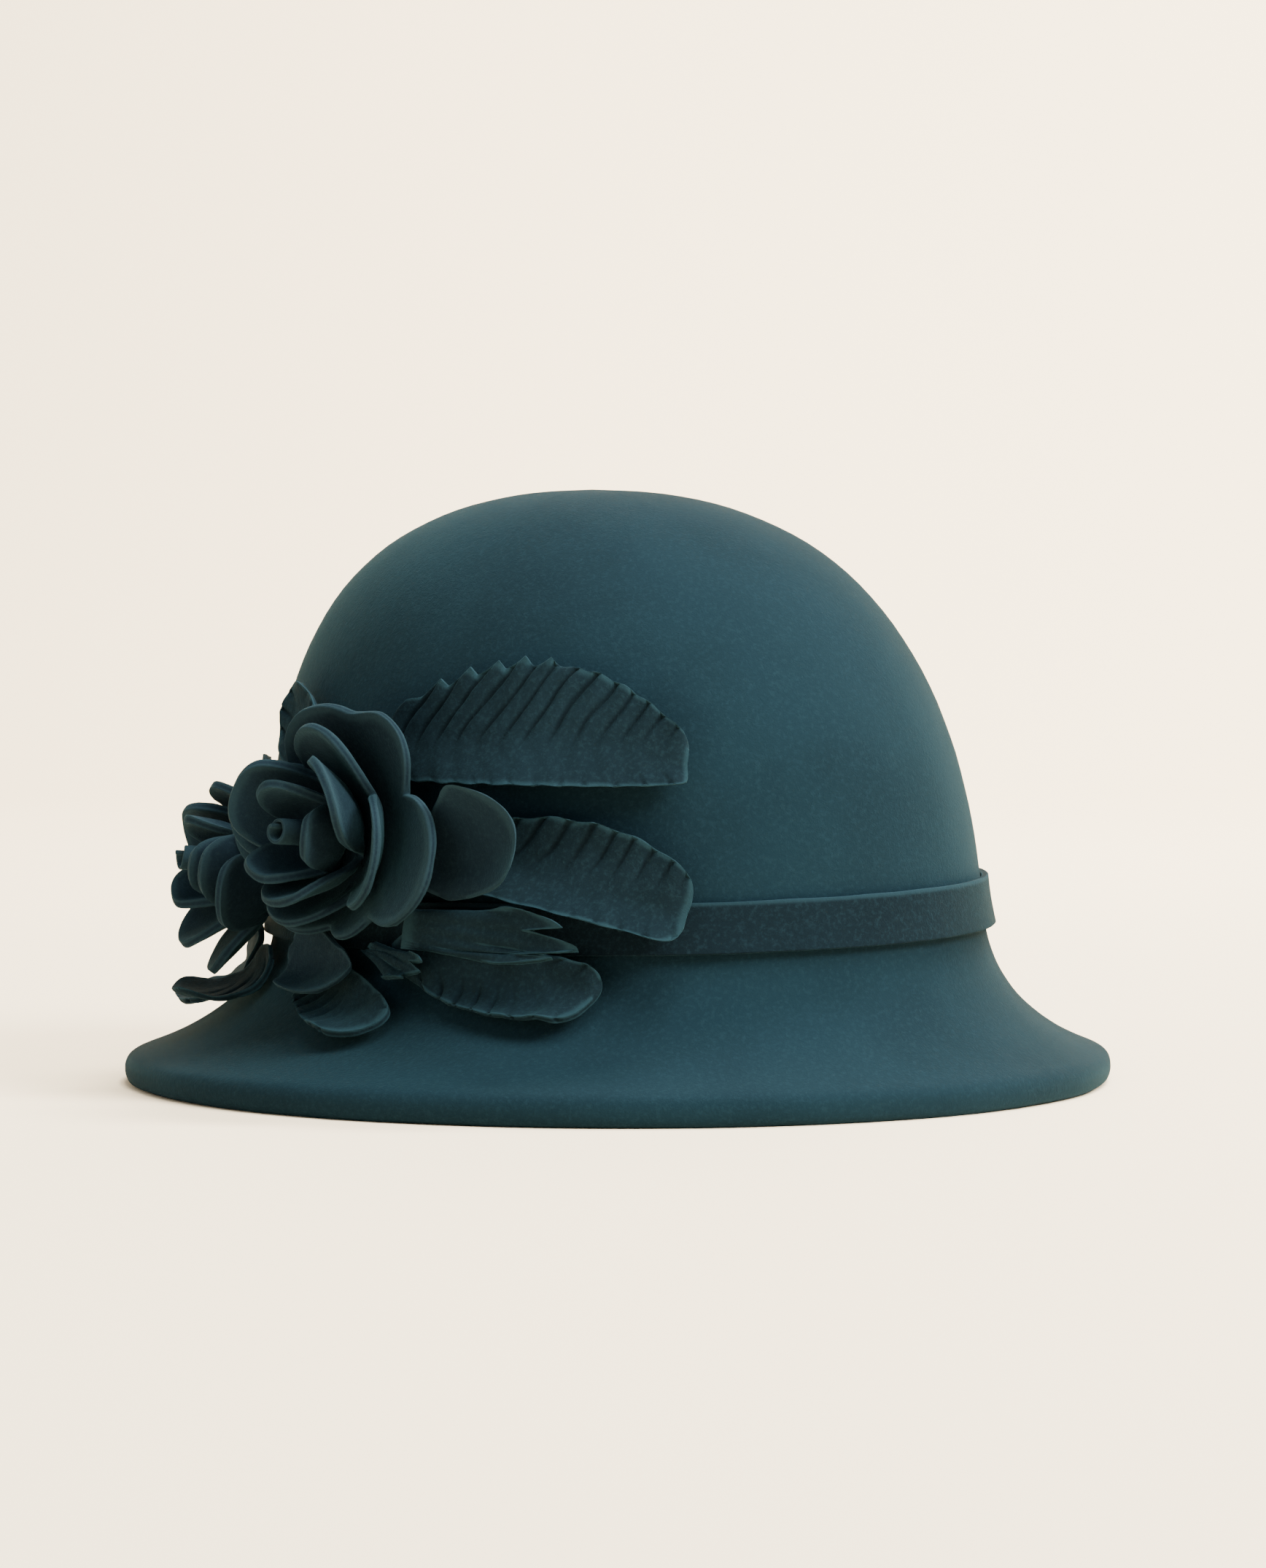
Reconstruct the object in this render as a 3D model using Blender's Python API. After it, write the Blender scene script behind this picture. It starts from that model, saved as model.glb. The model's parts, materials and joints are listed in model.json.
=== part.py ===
"""A felt cloche hat with a cut felt band, and felt leaves and two felt flowers at its side.

Metres, +Z up. The wearer faces -Y and the wearer's right is -X. The brim stands on z = 0,
and the origin is the middle of the brim's outline. A turn is an angle in degrees round the
hat from its front towards the wearer's right. A climb is a distance along the felt, up the
crown from the band's lower edge, or down the brim where it is negative.
"""

import bisect
import math

import bmesh
import bpy
from mathutils import Vector

# Felt
FELT = 0.0022
PIECE_GAP = 0.00035

# Crown, outside, from the band's lower edge up
CROWN_HALF_WIDTH = 0.0846
CROWN_HALF_LENGTH = 0.1004
CROWN_RISE = 0.112
CROWN_FULLNESS = 2.5
CROWN_LEAN_BACK = 0.0105
CROWN_LEAN_RIGHT = 0.0029
CROWN_ROWS = (82, 72, 61, 50, 39, 28, 18, 9.5, 3.6)
INNER_CROWN_ROWS = (6, 18, 32, 46, 60, 75)

# Brim, from the band's lower edge down to what it rests on
BRIM_DROP = 0.039
BRIM_HALF_WIDTH = 0.1296
BRIM_HALF_LENGTH = 0.1264
BRIM_SIDE_DIP = 0.0025
BRIM_STEEP_OUT = 0.12
BRIM_STEEP_DOWN = 0.55
BRIM_ROWS = (0.12, 0.26, 0.42, 0.60, 0.78, 0.92)
INNER_BRIM_ROWS = (0.72, 0.42, 0.18)

# Rolled edge and turned-under hem
EDGE_RADIUS = 0.0042
EDGE_FOOT_RADIUS = 0.0026
EDGE_FOOT_FLAT = 0.0016
EDGE_THICKNESS = 0.0060
HEM_WIDTH = 0.015
HEM_THICKNESS = 0.0046
HEM_START = 0.93
ROLL_ROWS = (62, 34, 0)

# Band
BAND_WIDTH = 0.0125
BAND_THICKNESS = 0.0018
BAND_FLARE = 0.0009
BAND_LIFT_RUN = 0.005

# Leaves: lengths in the table are shares of these
LEAF_THICKNESS = 0.0018
LEAF_REACH = 0.085
LEAF_WIDTH = 0.018
PLEAT_HEIGHT = 0.0025
PLEAT_GROWTH = 1.7
EDGE_CURL = 0.0055
LEAF_START = 0.16
LEAF_FULLNESS = 0.75
LEAF_SWEEP = 0.60
SWEEP_KEPT = 0.60
END_ROUND = 0.10
BLUNT_CUT = 0.5
NOTCH_AT_TIP = 0.08
NOTCH_AT_BASE = 0.30
FAN_ROWS = 4
FAN_BASE = 0.45
FAN_ROUND = 0.22
FINGER_CUT = 0.24
FINGER_RIDGES = (0, 1, 1)
LEAF_ACROSS = (-1.0, -0.72, -0.36, 0.0, 0.36, 0.72, 1.0)

# Flowers: lengths in the table are shares of these
PETAL_THICKNESS = 0.0022
PETAL_GAP = 0.00065
PETAL_LENGTH = 0.034
FLOWER_EYE = 0.0046
PETAL_ROOT = 0.0035
PETAL_BEND = 0.007
PETAL_FLARE = 16.0
FLARE_START = 0.7
FLARE_RUN = 0.4
LOBE_FULLNESS = 2.4
LEAN_BLEND = 5.0
NEST_ANGLE = 7.0
LOBE_OFFSETS = (-0.97, -0.86, -0.62, -0.3, 0.0, 0.3, 0.62, 0.86, 0.97)
WIDEST_STEP = 17.0
CLOSEST_STEP = 3.0
RINGS = (0.30, 0.52, 0.76, 1.0)
HEART_HEIGHT = 0.017
HEART_TURNS = 1.35
HEART_EYE = 0.0011
HEART_WALL = 0.0012
HEART_TAPER = 0.18

TURNS_ROUND = 48
CURVE_STEPS = 16
PROFILE_STEPS = 48
SKIN_STEP = 0.0015
SHARP_ANGLE = 50

# The waves in the brim's outline: how many round it, how deep as a share, and their phase
BRIM_WAVES = (
    # waves, depth, phase
    (2, 0.014, 0.0),
    (3, 0.014, 45.0),
)

# Turns in degrees, climbs and lengths as shares: a climb of the crown's rise, a width of
# LEAF_WIDTH, a bow of LEAF_REACH, the curls of EDGE_CURL and the tip's lift of LEAF_REACH. A
# leaf beneath counts as a little more or less than one, by how high its pleats stand there.
LEAVES = (
    # name, base turn, base climb, tip turn, tip climb, upper, lower, bow, pleats,
    # pleats up, pleats down, upper curl, lower curl, tip lift, blunt, leaves beneath
    ("leaf_upper", 84.5, 0.45, 32, 0.40, 1.04, 0.81, 0.08, 11, 1.0, 0.7, 0.1, 0.9, 0.05, 0.15, 0),
    ("leaf_middle", 75, 0.21, 36, 0.085, 0.84, 0.475, 0.05, 6, 1.0, 0.8, 0.3, 0.9, 0.04, 0.45, 0),
    ("leaf_lower", 79, 0.02, 49, -0.13, 0.72, 0.64, 0.00, 6, 0.8, 0.7, 0.0, 0.3, 0.04, 0.50, 0),
    ("leaf_between", 95.5, 0.325, 109, 0.56, 0.60, 0.56, 0.00, 3, 0.9, 0.9, 0.2, 0.2, 0.03, 0.10, 0),
    ("leaf_back_upper", 120, 0.32, 151, 0.18, 0.85, 0.80, 0.05, 5, 0.9, 0.9, 0.3, 0.3, 0.06, 0.15, 0),
    ("leaf_back_lower", 120, 0.02, 146, -0.32, 0.66, 0.66, 0.00, 4, 0.9, 0.9, 0.2, 0.2, 0.10, 0.15, 0),
    ("leaf_back_tip", 112, -0.02, 119, -0.27, 0.52, 0.52, 0.00, 3, 0.4, 0.4, 0.3, 0.3, 0.12, 0.50, 0),
    ("petal_front", 71.5, 0.15, 58, 0.265, 0.66, 0.66, 0.00, 3, 0.0, 0.0, 0.9, 0.9, 0.15, 0.75, 1.15),
    ("leaf_brim", 103, 0.00, 78, -0.23, 0.56, 0.52, 0.00, 4, 0.5, 0.5, 0.3, 0.3, 0.03, 0.60, 0),
    ("petal_low", 96, 0.06, 88, -0.15, 0.66, 0.62, 0.00, 3, 0.0, 0.0, 0.4, 0.4, 0.05, 0.75, 0.84),
)

# Fans: lengths as for the leaves, the spread being half the width at the end
FANS = (
    # name, base turn, base climb, tip turn, tip climb, spread, fingers, end curl, leaves beneath
    ("fan_lower", 74, 0.060, 47, 0.00, 0.58, 4, 0.9, 1),
    ("fan_front", 82, 0.01, 70, -0.10, 0.36, 3, 0.7, 0.62),
)

# Flowers: where each hub sits, and how far its axis tips from the felt's own direction
FLOWERS = (
    # name, turn, climb, tip up, tip back, size
    ("upper_flower", 85.5, 0.25, 0.0, 0.0, 1.0),
    ("lower_flower", 111.5, 0.17, 4.0, 8.0, 0.98),
)

# Petals: the turn is round the flower from up the crown towards the back, the lean is from
# the flower's axis, and the length is a share of PETAL_LENGTH
PETALS = {
    "upper_flower": (
        # layer, turn, half width, lean, length
        (0, 12, 40, 42, 1.08),
        (0, 84, 40, 40, 1.10),
        (0, 152, 32, 30, 0.94),
        (0, 204, 26, 40, 0.92),
        (0, 258, 38, 60, 1.34),
        (0, 322, 30, 62, 1.12),
        (1, 346, 46, 34, 1.04),
        (1, 74, 46, 32, 1.04),
        (1, 166, 42, 24, 0.96),
        (1, 258, 46, 42, 1.12),
        (2, 306, 54, 26, 0.98),
        (2, 60, 54, 24, 0.98),
        (2, 182, 56, 16, 0.92),
        (3, 20, 58, 10, 0.78),
        (3, 150, 56, 12, 0.82),
        (3, 265, 54, 10, 0.76),
    ),
    "lower_flower": (
        (0, 22, 34, 20, 0.90),
        (0, 98, 40, 48, 1.06),
        (0, 178, 38, 46, 1.00),
        (0, 250, 36, 36, 1.00),
        (0, 306, 24, 17, 0.72),
        (1, 60, 50, 30, 0.92),
        (1, 160, 46, 32, 0.96),
        (1, 262, 46, 18, 0.86),
        (2, 20, 56, 8, 0.72),
        (2, 140, 54, 12, 0.78),
        (2, 262, 56, 8, 0.72),
    ),
}


def section_scale(turn):
    """How far the brim's outline stands out at a turn, as a share of its plain oval."""
    waves = (depth * math.sin(count * turn + math.radians(phase)) for count, depth, phase in BRIM_WAVES)
    return 1 + sum(waves)


def raw_edge(turn):
    """The brim's outermost line before the origin is set, as x and y."""
    scale = section_scale(turn)
    return -BRIM_HALF_WIDTH * math.sin(turn) * scale, -BRIM_HALF_LENGTH * math.cos(turn) * scale


def ring_turns():
    return [2 * math.pi * i / TURNS_ROUND for i in range(TURNS_ROUND)]


def outline_middle():
    """The middle of the box round the brim's outline, which becomes the origin."""
    edge = [raw_edge(turn) for turn in ring_turns()]
    xs, ys = zip(*edge)
    return (min(xs) + max(xs)) / 2, (min(ys) + max(ys)) / 2


MIDDLE_X, MIDDLE_Y = outline_middle()


def edge_point(turn):
    x, y = raw_edge(turn)
    return x - MIDDLE_X, y - MIDDLE_Y


def foot_height(turn):
    """The height of the band's lower edge."""
    return BRIM_DROP - BRIM_SIDE_DIP * math.sin(turn)


def crown_point(turn, rise_angle, inset=0.0):
    """A point of the crown: the rise angle goes from 0 at its foot to a quarter turn on top."""
    power = 2 / CROWN_FULLNESS
    high = math.sin(rise_angle) ** power
    wide = max(math.cos(rise_angle), 0.0) ** power
    x = -(CROWN_HALF_WIDTH - inset) * wide * math.sin(turn) - CROWN_LEAN_RIGHT * high - MIDDLE_X
    y = -(CROWN_HALF_LENGTH - inset) * wide * math.cos(turn) + CROWN_LEAN_BACK * high - MIDDLE_Y
    foot = foot_height(turn)
    return Vector((x, y, foot + (BRIM_DROP + CROWN_RISE - inset - foot) * high))


class BrimSection:
    """The brim's profile in the upright plane through the crown's foot and the edge at a turn."""

    def __init__(self, turn):
        foot = crown_point(turn, 0.0)
        out = Vector((*edge_point(turn), 0.0)) - Vector((foot.x, foot.y, 0.0))
        self.foot = foot
        self.reach = out.length
        self.outward = out.normalized()
        self.roll_middle = (self.reach - EDGE_RADIUS, EDGE_RADIUS)
        end = self.roll_point(math.radians(ROLL_ROWS[0]))
        self.curve = (
            (0.0, foot.z),
            (BRIM_STEEP_OUT * self.reach, foot.z * (1 - BRIM_STEEP_DOWN)),
            end,
        )

    def roll_point(self, angle):
        out, up = self.roll_middle
        return out + EDGE_RADIUS * math.cos(angle), up + EDGE_RADIUS * math.sin(angle)

    def slope(self, share):
        """The direction down the brim at a share of the way from the crown's foot to the edge."""
        (x0, z0), (x1, z1), (x2, z2) = self.curve
        x = 2 * (1 - share) * (x1 - x0) + 2 * share * (x2 - x1)
        z = 2 * (1 - share) * (z1 - z0) + 2 * share * (z2 - z1)
        length = math.hypot(x, z)
        return x / length, z / length

    def outer(self, share, thickness=0.0):
        """A point of the brim's upper face, or of a face this far below it."""
        (x0, z0), (x1, z1), (x2, z2) = self.curve
        a, b, c = (1 - share) ** 2, 2 * share * (1 - share), share**2
        x_dir, z_dir = self.slope(share)
        x = a * x0 + b * x1 + c * x2 + thickness * z_dir
        z = a * z0 + b * z1 + c * z2 - thickness * x_dir
        return x, z

    def length(self):
        points = [self.outer(i / 12) for i in range(13)]
        return sum(math.dist(p, q) for p, q in zip(points, points[1:]))

    def place(self, point):
        out, up = point
        return Vector((self.foot.x, self.foot.y, 0.0)) + self.outward * out + Vector((0, 0, up))


def body_column(turn):
    """One upright section of the hat: down its outside, round the edge and up its inside."""
    brim = BrimSection(turn)
    column = [crown_point(turn, math.radians(row)) for row in CROWN_ROWS]
    column.append(brim.foot)
    column += [brim.place(brim.outer(share)) for share in BRIM_ROWS]
    column += [brim.place(brim.roll_point(math.radians(angle))) for angle in ROLL_ROWS]
    foot_out = brim.reach - EDGE_FOOT_RADIUS
    diagonal = EDGE_FOOT_RADIUS * math.sqrt(0.5)
    column.append(brim.place((foot_out + diagonal, EDGE_FOOT_RADIUS - diagonal)))
    column.append(brim.place((foot_out, 0.0)))
    column.append(brim.place((foot_out - EDGE_FOOT_FLAT, 0.0)))
    inner_out = brim.reach - EDGE_THICKNESS
    column.append(brim.place((inner_out, EDGE_THICKNESS - EDGE_FOOT_RADIUS - EDGE_FOOT_FLAT)))
    hem_end = 1 - HEM_WIDTH / brim.length()
    for share in (HEM_START, (HEM_START + hem_end) / 2, hem_end):
        column.append(brim.place(brim.outer(share, HEM_THICKNESS)))
    step = (HEM_THICKNESS - FELT) / 4 / brim.length()
    column.append(brim.place(brim.outer(hem_end - step, FELT)))
    for share in INNER_BRIM_ROWS:
        column.append(brim.place(brim.outer(hem_end * share, FELT)))
    inner_foot = crown_point(turn, 0.0, FELT)
    column.append(inner_foot)
    column += [crown_point(turn, math.radians(row), FELT) for row in INNER_CROWN_ROWS]
    return column


def mesh_object(name, points, faces, material):
    mesh = bpy.data.meshes.new(name)
    mesh.from_pydata([tuple(point) for point in points], [], faces)
    mesh.materials.append(material)
    shell = bmesh.new()
    shell.from_mesh(mesh)
    bmesh.ops.recalc_face_normals(shell, faces=shell.faces)
    if shell.calc_volume(signed=True) < 0:
        bmesh.ops.reverse_faces(shell, faces=shell.faces)
    shell.to_mesh(mesh)
    shell.free()
    mesh.shade_smooth()
    mesh.set_sharp_from_angle(angle=math.radians(SHARP_ANGLE))
    piece = bpy.data.objects.new(name, mesh)
    bpy.context.scene.collection.objects.link(piece)
    return piece


def felt_material(name, colour, roughness):
    material = bpy.data.materials.new(name)
    material.use_nodes = True
    shader = material.node_tree.nodes["Principled BSDF"]
    shader.inputs["Base Color"].default_value = (*colour, 1.0)
    shader.inputs["Roughness"].default_value = roughness
    shader.inputs["Metallic"].default_value = 0.0
    return material


def lofted_body(material):
    """The crown and brim as one closed solid, with a pole on the top's outside and inside."""
    columns = [body_column(turn) for turn in ring_turns()]
    rows = len(columns[0])
    points = [point for column in columns for point in column]
    top = len(points)
    points.append(crown_point(0.0, math.pi / 2))
    points.append(crown_point(0.0, math.pi / 2, FELT))
    faces = []
    for i in range(TURNS_ROUND):
        here, there = i * rows, (i + 1) % TURNS_ROUND * rows
        faces.append((top, there, here))
        for row in range(rows - 1):
            faces.append((here + row, there + row, there + row + 1, here + row + 1))
        faces.append((top + 1, here + rows - 1, there + rows - 1))
    return mesh_object("felt_body", points, faces, material)


def band(material):
    """A flat strip round the crown's foot, closed on itself. Its lower edge stands off the felt."""
    columns = []
    for turn in ring_turns():
        column = []
        for climb, stand in band_outline():
            point, normal = skin(turn, climb)
            column.append(point + normal * stand)
        columns.append(column)
    rows = len(columns[0])
    points = [point for column in columns for point in column]
    faces = []
    for i in range(TURNS_ROUND):
        here, there = i * rows, (i + 1) % TURNS_ROUND * rows
        for row in range(rows):
            after = (row + 1) % rows
            faces.append((here + row, there + row, there + after, here + after))
    return mesh_object("hat_band", points, faces, material)


def band_outline():
    """The band's section as climbs and distances from the crown, from its top edge round."""
    inner, outer = PIECE_GAP, PIECE_GAP + BAND_THICKNESS
    low, high = PIECE_GAP, PIECE_GAP + BAND_WIDTH
    middle = (low + high) / 2
    return (
        (high, inner),
        (high, outer),
        (middle, outer),
        (low, outer + BAND_FLARE),
        (low, inner + BAND_FLARE),
        (middle, inner),
    )


profiles = {}


def profile(turn):
    """Points down the outside at a turn, with the climb of each."""
    key = round(turn, 7)
    if key not in profiles:
        brim = BrimSection(turn)
        upper = [crown_point(turn, math.pi / 2 * (1 - i / PROFILE_STEPS) ** 2) for i in range(PROFILE_STEPS)]
        upper.append(brim.foot)
        lower = [brim.place(brim.outer(i / PROFILE_STEPS)) for i in range(1, PROFILE_STEPS + 1)]
        climbs = [0.0]
        for above, below in zip(reversed(upper[:-1]), reversed(upper[1:])):
            climbs.append(climbs[-1] + (above - below).length)
        climbs.reverse()
        for above, below in zip([upper[-1]] + lower, lower):
            climbs.append(climbs[-1] - (above - below).length)
        profiles[key] = ([-climb for climb in climbs], upper + lower)
    return profiles[key]


def skin_point(turn, climb):
    drops, points = profile(turn)
    i = bisect.bisect_left(drops, -climb, 1, len(drops) - 1)
    share = (-climb - drops[i - 1]) / (drops[i] - drops[i - 1])
    return points[i - 1].lerp(points[i], share)


def skin(turn, climb):
    """The felt's outside at a turn and climb: the point, and the direction straight out."""
    round_step = SKIN_STEP / CROWN_HALF_WIDTH
    across = skin_point(turn + round_step, climb) - skin_point(turn - round_step, climb)
    up = skin_point(turn, climb + SKIN_STEP) - skin_point(turn, climb - SKIN_STEP)
    return skin_point(turn, climb), up.cross(across).normalized()


def smooth(share):
    share = min(max(share, 0.0), 1.0)
    return share * share * (3 - 2 * share)


def rest_height(climb):
    """How far out a piece lies: on the felt, or over the band where it crosses it."""
    over_band = PIECE_GAP + BAND_THICKNESS + BAND_FLARE * smooth(2 - 2 * climb / BAND_WIDTH)
    above = smooth((BAND_WIDTH + 2 * BAND_LIFT_RUN - climb) / BAND_LIFT_RUN)
    below = smooth((climb + 2 * BAND_LIFT_RUN) / BAND_LIFT_RUN)
    return PIECE_GAP + over_band * above * below


def sheet_solid(name, lower, upper, material):
    """A closed solid between two grids of points with the same rows and columns."""
    rows, columns = len(lower), len(lower[0])
    points = [point for grid in (lower, upper) for row in grid for point in row]
    high = rows * columns

    def at(row, column):
        return row * columns + column

    faces = []
    for row in range(rows - 1):
        for column in range(columns - 1):
            square = (at(row, column), at(row + 1, column), at(row + 1, column + 1), at(row, column + 1))
            faces.append(square)
            faces.append(tuple(high + corner for corner in reversed(square)))
    border = [at(0, column) for column in range(columns)]
    border += [at(row, columns - 1) for row in range(1, rows)]
    border += [at(rows - 1, column) for column in range(columns - 2, -1, -1)]
    border += [at(row, 0) for row in range(rows - 2, 0, -1)]
    for here, there in zip(border, border[1:] + border[:1]):
        faces.append((here, there, high + there, high + here))
    return mesh_object(name, points, faces, material)


def leaf(row, material):
    """A felt leaf on the hat: pleated out from its rib, notched at its edges and curled up."""
    (name, base_turn, base_climb, tip_turn, tip_climb, upper, lower, bow, pleats,
     pleats_up, pleats_down, upper_curl, lower_curl, tip_lift, blunt, beneath) = row
    base = Vector((0.0, base_climb * CROWN_RISE))
    run = math.radians(base_turn - tip_turn) * CROWN_HALF_WIDTH
    tip = Vector((run, tip_climb * CROWN_RISE))
    along = (tip - base).normalized()
    across = Vector((-along.y, along.x)) * (1 if run > 0 else -1)
    length = (tip - base).length
    steps = 2 * pleats
    stack = beneath * (LEAF_THICKNESS + PLEAT_HEIGHT + PIECE_GAP)
    low_grid, high_grid = [], []
    for i in range(steps + 1):
        share = i / steps
        ridge = i % 2
        way_round = LEAF_START + share * (1 - LEAF_START - BLUNT_CUT * blunt)
        rounded = math.sin(math.pi * way_round) ** LEAF_FULLNESS
        cut = NOTCH_AT_TIP + (NOTCH_AT_BASE - NOTCH_AT_TIP) * (1 - share) ** 2
        rib = base.lerp(tip, share) + across * (bow * LEAF_REACH * 4 * share * (1 - share))
        low_row, high_row = [], []
        for v in LEAF_ACROSS:
            side = upper if v > 0 else lower
            pleated = pleats_up if v > 0 else pleats_down
            curl = upper_curl if v > 0 else lower_curl
            notch = 1 - cut * pleated * (1 - ridge) * abs(v)
            offset = v * side * LEAF_WIDTH * rounded * notch
            sweep = abs(offset) * LEAF_SWEEP * (1 - share + SWEEP_KEPT * pleated * share)
            rounding = END_ROUND * LEAF_REACH * blunt * (1 - v * v) * share**4
            spot = rib + across * offset + along * (sweep + rounding)
            turn = math.radians(base_turn) - spot.x / CROWN_HALF_WIDTH
            grown = 1 + PLEAT_GROWTH * blunt * share**3
            out = rest_height(spot.y) + stack + PLEAT_HEIGHT * grown * pleated * abs(v) * ridge
            out += EDGE_CURL * curl * v * v * smooth(2 * share) * (1 - (1 - blunt) * smooth(2 * share - 1))
            out += LEAF_REACH * tip_lift * share**3
            point, normal = skin(turn, spot.y)
            low_row.append(point + normal * out)
            high_row.append(point + normal * (out + LEAF_THICKNESS))
        low_grid.append(low_row)
        high_grid.append(high_row)
    if run < 0:
        low_grid.reverse()
        high_grid.reverse()
    return sheet_solid(name, low_grid, high_grid, material)


def fan(row, material):
    """A folded strip of felt that opens from its base into fingers, which curl up at their ends."""
    name, base_turn, base_climb, tip_turn, tip_climb, spread, fingers, end_curl, beneath = row
    base = Vector((0.0, base_climb * CROWN_RISE))
    tip = Vector((math.radians(base_turn - tip_turn) * CROWN_HALF_WIDTH, tip_climb * CROWN_RISE))
    along = (tip - base).normalized()
    across = Vector((-along.y, along.x))
    stack = beneath * (LEAF_THICKNESS + PLEAT_HEIGHT + PIECE_GAP)
    columns = len(FINGER_RIDGES) * fingers
    low_grid, high_grid = [], []
    for i in range(FAN_ROWS + 1):
        share = i / FAN_ROWS
        half_width = spread * LEAF_WIDTH * (FAN_BASE + (1 - FAN_BASE) * share)
        low_row, high_row = [], []
        for j in range(columns + 1):
            v = 2 * j / columns - 1
            ridge = FINGER_RIDGES[j % len(FINGER_RIDGES)]
            reach = (tip - base).length * share * (1 - FINGER_CUT * (1 - ridge) * share**2)
            reach *= 1 - FAN_ROUND * v * v * share
            spot = base + along * reach + across * (v * half_width)
            turn = math.radians(base_turn) - spot.x / CROWN_HALF_WIDTH
            out = rest_height(spot.y) + stack + PLEAT_HEIGHT * ridge * share
            out += EDGE_CURL * end_curl * share**3
            point, normal = skin(turn, spot.y)
            low_row.append(point + normal * out)
            high_row.append(point + normal * (out + LEAF_THICKNESS))
        low_grid.append(low_row)
        high_grid.append(high_row)
    return sheet_solid(name, low_grid, high_grid, material)


def nearest_turn(angle, centre):
    """The angle from a centre to an angle, in degrees, between -180 and 180."""
    return (angle - centre + 180) % 360 - 180


class PetalLayer:
    """One felt layer of a flower: a hub with round lobes, bent up like a bowl."""

    def __init__(self, petals, eye, size, outside):
        self.petals = petals
        self.eye = eye
        self.size = size
        self.outside = outside

    def outline(self, angle):
        """How far the felt reaches from the middle at an angle, measured along it."""
        hub = self.eye + PETAL_ROOT
        reach = hub
        for _, turn, half_width, _, length in self.petals:
            off = abs(nearest_turn(angle, turn)) / half_width
            if off < 1:
                lobe = math.sqrt(1 - off**LOBE_FULLNESS)
                reach = max(reach, hub + (length * PETAL_LENGTH * self.size - hub) * lobe)
        return reach

    def lean(self, angle):
        """The lobes' leans, blended round the flower, and always inside the layer outside."""
        total = weights = 0.0
        for _, turn, _, lean, _ in self.petals:
            weight = math.exp(LEAN_BLEND * (math.cos(math.radians(angle - turn)) - 1))
            total += weight * lean
            weights += weight
        if self.outside is None:
            return total / weights
        return min(total / weights, self.outside.lean(angle) - NEST_ANGLE)

    def path(self, angle, reach):
        """The radius, height and slope at the end of a path of this length out from the middle."""
        lean = self.lean(angle)
        radius = height = 0.0
        slope = 90.0
        for i in range(CURVE_STEPS):
            walked = reach * (i + 0.5) / CURVE_STEPS
            bent = smooth((walked - self.eye) / PETAL_BEND)
            flare = PETAL_FLARE * smooth((walked / PETAL_LENGTH - FLARE_START) / FLARE_RUN)
            slope = 90 + (lean + flare - 90) * bent
            radius += reach / CURVE_STEPS * math.sin(math.radians(slope))
            height += reach / CURVE_STEPS * math.cos(math.radians(slope))
        return radius, height, math.radians(slope)

    def point(self, angle, reach, out):
        """A point of the layer's middle face, moved to its inside by out."""
        radius, height, slope = self.path(angle, reach)
        radius -= out * math.cos(slope)
        height += out * math.sin(slope)
        turn = math.radians(angle)
        return Vector((radius * math.cos(turn), radius * math.sin(turn), height))

    def angles(self):
        """The angles at which the outline is taken: close together where a lobe turns in."""
        found = sorted((turn + off * half_width) % 360 for _, turn, half_width, _, _ in self.petals
                       for off in LOBE_OFFSETS)
        kept = [found[0]]
        for angle in found[1:] + [found[0] + 360]:
            step = angle - kept[-1]
            between = math.ceil(step / WIDEST_STEP)
            kept += [kept[-1] + step * i / between for i in range(1, between)]
            if step > CLOSEST_STEP and angle < found[0] + 360:
                kept.append(angle)
        return kept


def petal_layer(name, layer, frame, lift, material):
    angles = layer.angles()
    points, faces = [], []
    for out in (-PETAL_THICKNESS / 2, PETAL_THICKNESS / 2):
        points.append(frame(Vector((0, 0, lift + out))))
        for angle in angles:
            reach = layer.outline(angle)
            for ring in RINGS:
                spot = layer.point(angle, reach * ring, out) + Vector((0, 0, lift))
                points.append(frame(spot))
    count, rings = len(angles), len(RINGS)
    side = 1 + count * rings
    for i in range(count):
        here, there = 1 + i * rings, 1 + (i + 1) % count * rings
        faces.append((0, there, here))
        faces.append((side, side + here, side + there))
        for ring in range(rings - 1):
            square = (here + ring, there + ring, there + ring + 1, here + ring + 1)
            faces.append(square)
            faces.append(tuple(side + corner for corner in reversed(square)))
        end_here, end_there = here + rings - 1, there + rings - 1
        faces.append((end_here, end_there, side + end_there, side + end_here))
    return mesh_object(name, points, faces, material)


def heart(name, size, frame, lift, material):
    """The flower's middle: a strip of felt rolled into a spiral."""
    inner = HEART_EYE * size
    outer = (FLOWER_EYE - PIECE_GAP) * size - PETAL_THICKNESS / 2
    wall = HEART_WALL * size
    low, high = [], []
    for i in range(CURVE_STEPS + 1):
        share = i / CURVE_STEPS
        angle = 2 * math.pi * HEART_TURNS * share
        radius = inner + (outer - inner) * share
        tall = HEART_HEIGHT * size * (1 - HEART_TAPER * share)
        direction = Vector((math.cos(angle), math.sin(angle), 0))
        low_row, high_row = [], []
        for height in (lift, lift + tall * 0.5, lift + tall):
            low_row.append(frame(direction * radius + Vector((0, 0, height))))
            high_row.append(frame(direction * (radius + wall) + Vector((0, 0, height))))
        low.append(low_row)
        high.append(high_row)
    return sheet_solid(name, low, high, material)


def seat_height(turn, climb, point, axis, radius):
    """How far along its axis a flat round foot of this radius sits clear of felt and band."""
    highest = 0.0
    for ring in (0.0, 0.5, 1.0):
        for step in range(12):
            angle = 2 * math.pi * step / 12
            climb_there = climb + ring * radius * math.cos(angle)
            turn_there = turn + ring * radius * math.sin(angle) / CROWN_HALF_WIDTH
            spot, normal = skin(turn_there, climb_there)
            over = spot + normal * rest_height(climb_there) - point
            highest = max(highest, over.dot(axis))
    return highest


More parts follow.
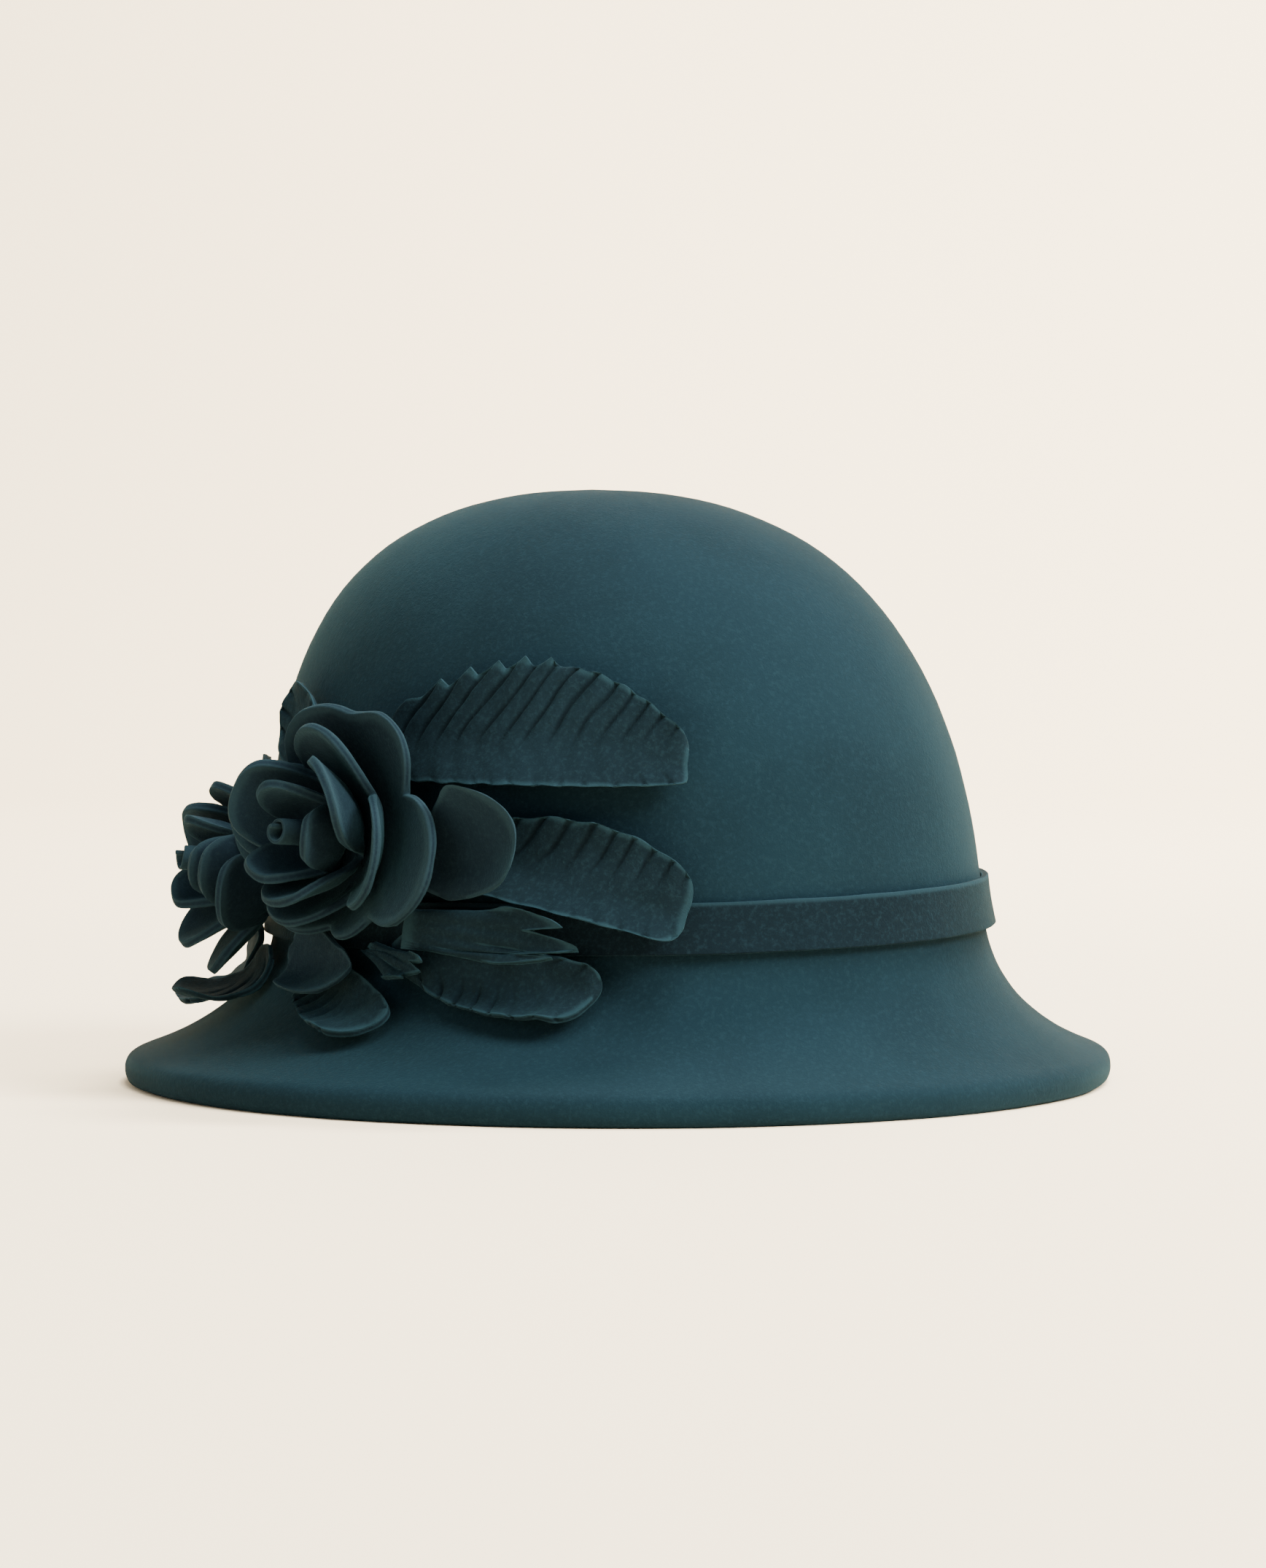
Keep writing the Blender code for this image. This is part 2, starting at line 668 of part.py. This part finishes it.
def flower(row, felt):
    name, turn_degrees, climb_share, tip_up, tip_back, size = row
    turn, climb = math.radians(turn_degrees), climb_share * CROWN_RISE
    point, normal = skin(turn, climb)
    round_step = SKIN_STEP / CROWN_HALF_WIDTH
    back = (skin_point(turn + round_step, climb) - skin_point(turn - round_step, climb)).normalized()
    up = normal.cross(back)
    up = up if up.z > 0 else -up
    axis = normal + up * math.tan(math.radians(tip_up)) + back * math.tan(math.radians(tip_back))
    axis.normalize()
    first = (up - axis * up.dot(axis)).normalized()
    second = (back - axis * back.dot(axis) - first * back.dot(first)).normalized()
    petals = PETALS[name]
    layers = 1 + max(petal[0] for petal in petals)
    pitch = PETAL_THICKNESS + PETAL_GAP
    widest_eye = FLOWER_EYE * size + (layers - 1) * pitch
    height = seat_height(turn, climb, point, axis, widest_eye + PETAL_BEND / 2) + PETAL_THICKNESS / 2

    def frame(spot):
        return point + first * spot.x + second * spot.y + axis * (spot.z + height)

    layer = None
    for place in range(layers):
        chosen = [petal for petal in petals if petal[0] == place]
        layer = PetalLayer(chosen, widest_eye - place * pitch, size, layer)
        petal_layer(f"{name}_petals_{place + 1}", layer, frame, place * pitch, felt)
    heart_lift = (layers - 1) * pitch + PETAL_THICKNESS / 2 + PETAL_GAP
    heart(f"{name}_heart", size, frame, heart_lift, felt)


def clear_scene():
    for piece in list(bpy.data.objects):
        bpy.data.objects.remove(piece, do_unlink=True)


def main():
    clear_scene()
    body_felt = felt_material("felt_body", (0.030, 0.098, 0.122), 0.92)
    band_felt = felt_material("felt_band", (0.026, 0.085, 0.107), 0.92)
    leaf_felt = felt_material("felt_leaf", (0.022, 0.066, 0.083), 0.94)
    petal_felt = felt_material("felt_petal", (0.018, 0.050, 0.064), 0.94)
    lofted_body(body_felt)
    band(band_felt)
    for row in LEAVES:
        leaf(row, leaf_felt)
    for row in FANS:
        fan(row, leaf_felt)
    for row in FLOWERS:
        flower(row, petal_felt)


main()
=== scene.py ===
"""The looks of a teal felt cloche hat with a cut felt band, felt leaves and two felt flowers.

Metres, +Z up. The wearer faces -Y, and the flowers are on the wearer's right, at -X. Each piece
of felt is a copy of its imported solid. The copy's doubled points are merged, it is subdivided, its
cut edges are rounded where it has any, and the felt's unevenness is pressed into it.
"""

import json
import math

import bpy
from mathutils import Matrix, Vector
from mathutils.noise import noise as noise_of

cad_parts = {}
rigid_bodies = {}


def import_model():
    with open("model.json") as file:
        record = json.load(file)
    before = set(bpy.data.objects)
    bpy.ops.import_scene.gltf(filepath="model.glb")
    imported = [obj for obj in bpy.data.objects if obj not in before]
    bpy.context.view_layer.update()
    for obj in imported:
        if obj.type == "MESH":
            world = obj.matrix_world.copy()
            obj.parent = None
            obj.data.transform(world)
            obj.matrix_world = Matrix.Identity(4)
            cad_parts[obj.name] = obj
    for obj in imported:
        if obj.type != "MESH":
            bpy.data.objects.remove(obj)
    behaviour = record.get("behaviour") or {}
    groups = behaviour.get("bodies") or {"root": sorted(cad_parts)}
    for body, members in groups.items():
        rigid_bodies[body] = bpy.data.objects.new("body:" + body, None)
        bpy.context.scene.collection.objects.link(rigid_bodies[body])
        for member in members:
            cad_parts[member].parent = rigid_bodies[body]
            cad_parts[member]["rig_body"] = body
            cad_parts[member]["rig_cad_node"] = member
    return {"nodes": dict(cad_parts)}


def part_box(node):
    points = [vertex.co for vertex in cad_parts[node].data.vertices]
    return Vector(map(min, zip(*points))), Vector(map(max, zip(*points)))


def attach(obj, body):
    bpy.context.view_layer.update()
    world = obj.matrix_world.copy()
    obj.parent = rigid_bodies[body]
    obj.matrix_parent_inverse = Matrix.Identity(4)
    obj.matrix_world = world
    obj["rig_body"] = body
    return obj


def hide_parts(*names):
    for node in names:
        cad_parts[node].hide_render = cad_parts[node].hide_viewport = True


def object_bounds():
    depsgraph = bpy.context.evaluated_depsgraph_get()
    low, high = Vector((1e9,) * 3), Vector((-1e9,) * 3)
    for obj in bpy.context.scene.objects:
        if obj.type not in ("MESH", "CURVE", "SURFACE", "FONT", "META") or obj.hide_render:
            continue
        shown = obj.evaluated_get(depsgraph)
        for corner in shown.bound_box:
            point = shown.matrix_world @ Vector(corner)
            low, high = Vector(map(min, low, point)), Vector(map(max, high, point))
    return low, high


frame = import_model()
packed_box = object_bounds()

# Meshes
MERGE_DISTANCE = 0.000002
QUAD_FOLD = math.radians(40)
QUAD_SKEW = math.radians(60)
RIM_FOLD = math.radians(77)
RIM_SEGMENTS = 2
BAND_RIM = 0.00030
LEAF_RIM = 0.0005
PETAL_RIM = 0.0006

# Dents in the felt: the size and the depth of each sort
BODY_DENTS = ((0.055, 0.0009), (0.012, 0.00022))
BAND_DENTS = ((0.018, 0.0004),)
CUT_PIECE_DENTS = ((0.010, 0.0006), (0.0035, 0.0002))

# Veins of the leaves. A leaf's base is the mean of one in so many of its points, and so is its tip
VEIN_SPACING = 0.0060
VEIN_LEAN = 0.62
VEIN_HALF_WIDTH = 0.20
VEIN_START = 0.0010
VEIN_FULL = 0.0100
VEIN_DEPTH = 0.0009
VEIN_WANDER = 0.55
VEIN_WANDER_SCALE = 60.0
VEIN_FACING = (0.2, 0.7)
LEAF_END_POINTS = 12

# Felt colours, linear. A shade is the cloudy darker tone, and a light is that of loose fibres and
# of the painted highlight on cut edges
TEAL = (0.0039, 0.0132, 0.0200)
TEAL_SHADE = (0.0028, 0.0098, 0.0150)
TEAL_LIGHT = (0.0100, 0.0280, 0.0395)
# The band's felt is darker than the crown's; part of that darkening is painted shade, as the band
# faces a little downward
BAND_TEAL = (0.0025, 0.0072, 0.0112)
BAND_SHADE = (0.0020, 0.0058, 0.0090)
LEAF_TEAL = (0.0040, 0.0112, 0.0166)
LEAF_SHADE = (0.0028, 0.0080, 0.0120)
LEAF_LIGHT = (0.0120, 0.0330, 0.0440)
PETAL_TEAL = (0.0052, 0.0128, 0.0205)
PETAL_SHADE = (0.0036, 0.0090, 0.0145)
PETAL_LIGHT = (0.0120, 0.0280, 0.0370)

# Felt's surface
FELT_ROUGHNESS = 0.94
FELT_SPECULAR = 0.05
FELT_SHEEN = 0.05
SHEEN_ROUGHNESS = 0.42
SHEEN_TINT = (0.20, 0.62, 0.74, 1.0)
# Painted shade in the vein creases: the share of the shade colour that their darkest line takes
CREASE_SHADE_DARKNESS = 0.35
CURL_REACH = 0.0042
NAP_STRENGTH = 0.50
NAP_HEIGHT = 0.00030
LUMP_STRENGTH = 0.22
LUMP_HEIGHT = 0.00035

# Noises: scale, detail and roughness
CLOUDS = (22.0, 3.0, 0.55)
GRAIN = (900.0, 4.0, 0.65)
CURL = (310.0, 2.0, 0.5)
FIBRES = (1700.0, 3.0, 0.6)
PLASTER_CLOUDS = (1.3, 3.0, 0.5)

# Spreads: the value where a second colour starts, where it is full, and how much it then shows
CLOUD_SPREAD = (0.35, 0.68, 0.75)
GRAIN_SPREAD = (0.46, 0.70, 0.24)
FIBRE_SPREAD = (0.60, 0.74, 0.24)
# The rim spread lays a painted highlight on cut edges, and the crease spread lays painted shade in
# vein creases
RIM_HIGHLIGHT_SPREAD = (0.15, 0.95, 0.60)
CREASE_SHADE_SPREAD = (0.0, 1.0, 0.60)

# Places of sockets on a mix node that mixes colours
MIX_SHARE = 0
FIRST_COLOUR = 6
SECOND_COLOUR = 7
MIXED_COLOUR = 2

# Photographer's room
ROOM_CREAM = (0.97, 0.84, 0.62)
CLOUDED_CREAM = 0.93
PLASTER_ROUGHNESS = 0.9
PLASTER_SPECULAR = 0.1
ROOM_WIDTH = 5.0
ROOM_HEIGHT = 3.2
FLOOR_SHIFT = 0.6
SWEEP_WIDTH = 1.2
SWEEP_SEGMENTS = 24
FLOOR_TOLERANCE = 0.01
GLOW_COLOUR = (1.0, 0.965, 0.92, 1.0)
GLOW_STRENGTH = 0.66

# Lamps: place and target as from_camera() takes them, width, watts and colour
HAT_MIDDLE = (0.0, 0.07, 0.0)
LAMPS = {
    "key_lamp": ((1.15, 1.10, 0.85), HAT_MIDDLE, 0.8, 80.0, (1.0, 0.96, 0.90)),
    "fill_lamp": ((-1.1, 0.7, 1.5), HAT_MIDDLE, 1.3, 7.0, (0.95, 0.97, 1.0)),
    "wall_lamp": ((0.9, 2.4, -0.9), (1.0, 0.5, -2.9), 1.4, 380.0, (1.0, 0.94, 0.84)),
    "floor_lamp": ((0.5, 2.5, 0.9), (0.4, 0.0, 1.0), 1.6, 120.0, (1.0, 0.95, 0.86)),
}

# Camera
CAMERA_AZIMUTH = math.radians(-38)
CAMERA_ELEVATION = math.radians(2)
CAMERA_DISTANCE = 1.31
HAT_SHARE_OF_WIDTH = 0.80
IMAGE_WIDTH = 1736
IMAGE_HEIGHT = 2150
SENSOR = 36.0


def deselect():
    bpy.ops.object.select_all(action="DESELECT")


def make_active(piece):
    deselect()
    piece.select_set(True)
    bpy.context.view_layer.objects.active = piece


def copy_of(node_name):
    """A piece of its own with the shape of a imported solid, ready to be worked on."""
    make_active(frame["nodes"][node_name])
    bpy.ops.object.duplicate(linked=False)
    piece = bpy.context.object
    bpy.ops.object.parent_clear(type="CLEAR_KEEP_TRANSFORM")
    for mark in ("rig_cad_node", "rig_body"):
        del piece[mark]
    piece.name = node_name + "_felt"
    piece.data.name = piece.name
    make_active(piece)
    bpy.ops.object.mode_set(mode="EDIT")
    bpy.ops.mesh.select_all(action="SELECT")
    bpy.ops.mesh.remove_doubles(threshold=MERGE_DISTANCE)
    bpy.ops.mesh.tris_convert_to_quads(face_threshold=QUAD_FOLD, shape_threshold=QUAD_SKEW)
    bpy.ops.object.mode_set(mode="OBJECT")
    return piece


def finish_modifier(piece, kind, **settings):
    """Adds a modifier with these settings and applies it."""
    make_active(piece)
    bpy.ops.object.modifier_add(type=kind)
    modifier = piece.modifiers[-1]
    for key, value in settings.items():
        setattr(modifier, key, value)
    bpy.ops.object.modifier_apply(modifier=modifier.name)


def subdivide(piece, levels):
    finish_modifier(piece, "SUBSURF", levels=levels, render_levels=levels)


def select_cut_edges(piece):
    """Leaves the piece in edit mode, with only its sharply folded edges selected."""
    make_active(piece)
    bpy.ops.object.mode_set(mode="EDIT")
    bpy.ops.mesh.select_mode(type="EDGE")
    bpy.ops.mesh.select_all(action="DESELECT")
    bpy.ops.mesh.edges_select_sharp(sharpness=RIM_FOLD)


def refine(piece):
    """Divides a cut piece's faces once and keeps its cut edges sharp."""
    select_cut_edges(piece)
    bpy.ops.object.mode_set(mode="OBJECT")
    crease = piece.data.attributes.new("crease_edge", "FLOAT", "EDGE")
    for edge in piece.data.edges:
        crease.data[edge.index].value = 1.0 if edge.select else 0.0
    subdivide(piece, 1)
    piece.data.attributes.remove(piece.data.attributes["crease_edge"])


def soften_rim(piece, width):
    """Rounds the cut edges and marks them for the painted highlight that the finish lays on them.
    """
    select_cut_edges(piece)
    bpy.ops.mesh.bevel(offset=width, segments=RIM_SEGMENTS, profile=0.5, clamp_overlap=True)
    bpy.ops.object.mode_set(mode="OBJECT")
    rim = piece.data.attributes.new("rim", "FLOAT", "POINT")
    for point in piece.data.vertices:
        rim.data[point.index].value = 1.0 if point.select else 0.0


def keep_upper_rim(piece):
    """Leaves the painted highlight only on the band's upper edge: its lower edge turns away from
    the light.
    """
    rim = piece.data.attributes["rim"]
    middle = box_middle("hat_band").z
    for point in piece.data.vertices:
        if point.co.z < middle:
            rim.data[point.index].value = 0.0


def press_unevenness(piece, dents):
    """Presses soft dents into the felt, each sort of about its size and depth."""
    for size, depth in dents:
        cloud = bpy.data.textures.new(f"{piece.name}_{size}", "CLOUDS")
        cloud.noise_scale = size
        cloud.noise_depth = 1
        finish_modifier(
            piece, "DISPLACE", texture=cloud, texture_coords="LOCAL", strength=depth, mid_level=0.5
        )


def box_middle(node_name):
    low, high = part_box(node_name)
    return (Vector(low) + Vector(high)) / 2


def ease(value, low, high):
    """A share that rises softly from 0 at low to 1 at high."""
    share = min(max((value - low) / (high - low), 0.0), 1.0)
    return share * share * (3 - 2 * share)


def leaf_ends(piece, heart):
    """The ends of a leaf: the one towards this flower's heart, and the one away from it."""
    spots = sorted(
        (point.co for point in piece.data.vertices), key=lambda spot: (spot - heart).length
    )
    count = len(spots) // LEAF_END_POINTS
    return sum(spots[:count], Vector()) / count, sum(spots[-count:], Vector()) / count


def press_veins(piece, node_name):
    """Presses grooves into a leaf's face, from its middle line out towards its edge and tip. Their
    depth is kept as the crease mark, which the finish also darkens as painted shade.
    """
    middle = box_middle(node_name)
    hearts = [box_middle(name) for name in ("upper_flower_heart", "lower_flower_heart")]
    base, tip = leaf_ends(piece, min(hearts, key=lambda spot: (spot - middle).length))
    along = (tip - base).normalized()
    across = Vector((middle.x, middle.y, 0.0)).cross(along).normalized()
    outward = along.cross(across)
    flat = math.hypot(outward.x, outward.y)
    crease = piece.data.attributes.new("crease", "FLOAT", "POINT")
    for point in piece.data.vertices:
        side = abs((point.co - base).dot(across))
        way = (point.co - base).dot(along) - side * VEIN_LEAN
        wander = VEIN_WANDER * noise_of(point.co * VEIN_WANDER_SCALE)
        phase = way / VEIN_SPACING + wander
        off = abs((phase + 0.5) % 1.0 - 0.5)
        depth = ease(-off, -VEIN_HALF_WIDTH, 0.0) * ease(side, VEIN_START, VEIN_FULL)
        radius = math.hypot(point.co.x, point.co.y)
        out = Vector((flat * point.co.x / radius, flat * point.co.y / radius, outward.z))
        crease.data[point.index].value = depth * ease(point.normal.dot(out), *VEIN_FACING)
    moved = [
        point.co - point.normal * VEIN_DEPTH * crease.data[point.index].value
        for point in piece.data.vertices
    ]
    for point, spot in zip(piece.data.vertices, moved):
        point.co = spot


def new_node(material, kind, **settings):
    """A shader node, with these settings on its sockets or on itself."""
    node = material.node_tree.nodes.new(kind)
    for key, value in settings.items():
        if key in node.inputs:
            node.inputs[key].default_value = value
        else:
            setattr(node, key, value)
    return node


def noise(material, place, scale, detail, roughness):
    made = new_node(material, "ShaderNodeTexNoise", Scale=scale, Detail=detail, Roughness=roughness)
    material.node_tree.links.new(place, made.inputs["Vector"])
    return made


def mixed(material, share, first, second):
    """A colour between two others. Each is a colour or another node's output."""
    made = new_node(material, "ShaderNodeMix", data_type="RGBA")
    for place, colour in ((FIRST_COLOUR, first), (SECOND_COLOUR, second)):
        if isinstance(colour, tuple):
            made.inputs[place].default_value = (*colour, 1.0)
        else:
            material.node_tree.links.new(colour, made.inputs[place])
    material.node_tree.links.new(share, made.inputs[MIX_SHARE])
    return made.outputs[MIXED_COLOUR]


def spread(material, value, low, high, top):
    """A value stretched from between low and high to between nothing and top."""
    made = new_node(material, "ShaderNodeMapRange", interpolation_type="SMOOTHSTEP")
    made.inputs["From Min"].default_value = low
    made.inputs["From Max"].default_value = high
    made.inputs["To Max"].default_value = top
    material.node_tree.links.new(value, made.inputs["Value"])
    return made.outputs["Result"]


def felt_finish(name, tone, shade, light):
    """Wool felt: cloudy colour, pale loose fibres, a painted highlight on cut edges, painted shade
    in vein creases and a short curly nap.
    """
    material = bpy.data.materials.new(name)
    material.use_nodes = True
    tree = material.node_tree
    shader = tree.nodes["Principled BSDF"]
    shader.inputs["Roughness"].default_value = FELT_ROUGHNESS
    shader.inputs["Specular IOR Level"].default_value = FELT_SPECULAR
    shader.inputs["Sheen Weight"].default_value = FELT_SHEEN
    shader.inputs["Sheen Roughness"].default_value = SHEEN_ROUGHNESS
    shader.inputs["Sheen Tint"].default_value = SHEEN_TINT
    place = new_node(material, "ShaderNodeTexCoord").outputs["Object"]

    def blend(value, limits, first, second):
        return mixed(material, spread(material, value, *limits), first, second)

    clouds = noise(material, place, *CLOUDS)
    grain = noise(material, place, *GRAIN)
    colour = blend(clouds.outputs["Fac"], CLOUD_SPREAD, tone, shade)
    colour = blend(grain.outputs["Fac"], GRAIN_SPREAD, colour, light)

    curl = noise(material, place, *CURL)
    bent = new_node(material, "ShaderNodeVectorMath", operation="SCALE")
    bent.inputs["Scale"].default_value = CURL_REACH
    tree.links.new(curl.outputs["Color"], bent.inputs[0])
    curly = new_node(material, "ShaderNodeVectorMath", operation="ADD")
    tree.links.new(place, curly.inputs[0])
    tree.links.new(bent.outputs["Vector"], curly.inputs[1])
    fibres = noise(material, curly.outputs["Vector"], *FIBRES)
    colour = blend(fibres.outputs["Fac"], FIBRE_SPREAD, colour, light)

    # Painted highlight on the cut edges
    rim = new_node(material, "ShaderNodeAttribute", attribute_name="rim")
    colour = blend(rim.outputs["Fac"], RIM_HIGHLIGHT_SPREAD, colour, light)
    # Painted shade in the vein creases
    crease = new_node(material, "ShaderNodeAttribute", attribute_name="crease")
    painted_crease_shade = tuple(CREASE_SHADE_DARKNESS * part for part in shade)
    colour = blend(crease.outputs["Fac"], CREASE_SHADE_SPREAD, colour, painted_crease_shade)
    tree.links.new(colour, shader.inputs["Base Color"])

    nap = new_node(material, "ShaderNodeBump", Strength=NAP_STRENGTH, Distance=NAP_HEIGHT)
    tree.links.new(fibres.outputs["Fac"], nap.inputs["Height"])
    lumps = new_node(material, "ShaderNodeBump", Strength=LUMP_STRENGTH, Distance=LUMP_HEIGHT)
    tree.links.new(grain.outputs["Fac"], lumps.inputs["Height"])
    tree.links.new(nap.outputs["Normal"], lumps.inputs["Normal"])
    tree.links.new(lumps.outputs["Normal"], shader.inputs["Normal"])
    return material


def dress(piece, node_name, material):
    piece.data.materials.clear()
    piece.data.materials.append(material)
    make_active(piece)
    bpy.ops.object.shade_smooth()
    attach(piece, "root")
    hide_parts(node_name)


def crown_and_brim(material):
    """The hat's body. None of its points goes below the plane that the brim rests on."""
    piece = copy_of("felt_body")
    piece.data.attributes.new("rim", "FLOAT", "POINT")
    subdivide(piece, 2)
    press_unevenness(piece, BODY_DENTS)
    for point in piece.data.vertices:
        point.co.z = max(point.co.z, packed_box[0][2])
    dress(piece, "felt_body", material)


def hat_band(material):
    piece = copy_of("hat_band")
    refine(piece)
    refine(piece)
    soften_rim(piece, BAND_RIM)
    keep_upper_rim(piece)
    subdivide(piece, 1)
    press_unevenness(piece, BAND_DENTS)
    dress(piece, "hat_band", material)


def cut_piece(node_name, material, rim_width):
    """A leaf, a petal layer or another small piece cut from felt."""
    piece = copy_of(node_name)
    refine(piece)
    soften_rim(piece, rim_width)
    if node_name.startswith("leaf_"):
        subdivide(piece, 2)
        press_veins(piece, node_name)
    else:
        subdivide(piece, 1)
    press_unevenness(piece, CUT_PIECE_DENTS)
    dress(piece, node_name, material)


def room(material):
    """A pale floor that turns up into a backdrop behind the hat, in one sweep."""
    back = (-math.sin(CAMERA_AZIMUTH), math.cos(CAMERA_AZIMUTH))
    middle = (back[0] * FLOOR_SHIFT, back[1] * FLOOR_SHIFT, 0.0)
    deselect()
    bpy.ops.mesh.primitive_plane_add(size=ROOM_WIDTH, location=middle)
    floor = bpy.context.object
    floor.name = "floor"
    bpy.ops.object.mode_set(mode="EDIT")
    bpy.ops.mesh.select_all(action="SELECT")
    bpy.ops.transform.rotate(value=-CAMERA_AZIMUTH, orient_axis="Z", center_override=middle)
    bpy.ops.object.mode_set(mode="OBJECT")

    points = floor.data.vertices
    reach = [point.co.x * back[0] + point.co.y * back[1] for point in points]
    for point in points:
        point.select = reach[point.index] > max(reach) - FLOOR_TOLERANCE
    for edge in floor.data.edges:
        edge.select = all(points[i].select for i in edge.vertices)
    for face in floor.data.polygons:
        face.select = False
    bpy.ops.object.mode_set(mode="EDIT")
    bpy.ops.mesh.select_mode(type="EDGE")
    bpy.ops.mesh.extrude_region_move(TRANSFORM_OT_translate={"value": (0, 0, ROOM_HEIGHT)})
    bpy.ops.object.mode_set(mode="OBJECT")
    finish_modifier(
        floor, "BEVEL", width=SWEEP_WIDTH, segments=SWEEP_SEGMENTS, limit_method="ANGLE"
    )
    floor.data.materials.append(material)
    bpy.ops.object.shade_smooth()


def plaster_finish():
    material = bpy.data.materials.new("pale_floor")
    material.use_nodes = True
    shader = material.node_tree.nodes["Principled BSDF"]
    shader.inputs["Roughness"].default_value = PLASTER_ROUGHNESS
    shader.inputs["Specular IOR Level"].default_value = PLASTER_SPECULAR
    place = new_node(material, "ShaderNodeTexCoord").outputs["Object"]
    clouds = noise(material, place, *PLASTER_CLOUDS)
    darker = tuple(CLOUDED_CREAM * share for share in ROOM_CREAM)
    colour = mixed(material, clouds.outputs["Fac"], ROOM_CREAM, darker)
    material.node_tree.links.new(colour, shader.inputs["Base Color"])
    return material


def aim(thing, target):
    """Turns a lamp or a camera towards a place."""
    direction = [target[i] - thing.location[i] for i in range(3)]
    flat = math.hypot(direction[0], direction[1])
    thing.rotation_euler = (
        math.atan2(flat, -direction[2]),
        0.0,
        math.atan2(-direction[0], direction[1]),
    )


def from_camera(right, up, towards):
    """A place given by how far it is to the right of the hat, above it and towards the camera."""
    sin, cos = math.sin(CAMERA_AZIMUTH), math.cos(CAMERA_AZIMUTH)
    return (right * cos + towards * sin, right * sin - towards * cos, up)


def lamp(name, place, target, size, power, colour):
    deselect()
    bpy.ops.object.light_add(type="AREA", location=from_camera(*place))
    light = bpy.context.object
    light.name = name
    light.data.shape = "DISK"
    light.data.size = size
    light.data.energy = power
    light.data.color = colour
    aim(light, from_camera(*target))


def room_light():
    world = bpy.data.worlds.new("room")
    bpy.context.scene.world = world
    world.use_nodes = True
    glow = world.node_tree.nodes["Background"]
    glow.inputs["Color"].default_value = GLOW_COLOUR
    glow.inputs["Strength"].default_value = GLOW_STRENGTH
    for name, settings in LAMPS.items():
        lamp(name, *settings)


def camera():
    """A camera at the photo's turn round the hat, just above the floor."""
    low, high = packed_box
    middle = tuple((a + b) / 2 for a, b in zip(low, high))
    deselect()
    level = CAMERA_DISTANCE * math.cos(CAMERA_ELEVATION)
    bpy.ops.object.camera_add(
        location=(
            middle[0] + level * math.sin(CAMERA_AZIMUTH),
            middle[1] - level * math.cos(CAMERA_AZIMUTH),
            middle[2] + CAMERA_DISTANCE * math.sin(CAMERA_ELEVATION),
        )
    )
    eye = bpy.context.object
    eye.name = "camera"
    aim(eye, middle)
    width = max(high[0] - low[0], high[1] - low[1])
    seen_width = width / HAT_SHARE_OF_WIDTH
    seen_height = seen_width * IMAGE_HEIGHT / IMAGE_WIDTH
    eye.data.sensor_width = SENSOR
    eye.data.lens = SENSOR * CAMERA_DISTANCE / seen_height
    bpy.context.scene.camera = eye


LEAF_NODES = [name for name in frame["nodes"] if name.startswith(("leaf_", "fan_"))]
PETAL_NODES = [name for name in frame["nodes"] if name.startswith(("petal_", "upper_", "lower_"))]

camera()
room_light()
room(plaster_finish())
crown_and_brim(felt_finish("crown_felt", TEAL, TEAL_SHADE, TEAL_LIGHT))
hat_band(felt_finish("band_felt", BAND_TEAL, BAND_SHADE, TEAL_LIGHT))
leaf_finish = felt_finish("leaf_felt", LEAF_TEAL, LEAF_SHADE, LEAF_LIGHT)
for name in sorted(LEAF_NODES):
    cut_piece(name, leaf_finish, LEAF_RIM)
petal_finish = felt_finish("petal_felt", PETAL_TEAL, PETAL_SHADE, PETAL_LIGHT)
for name in sorted(PETAL_NODES):
    cut_piece(name, petal_finish, PETAL_RIM)
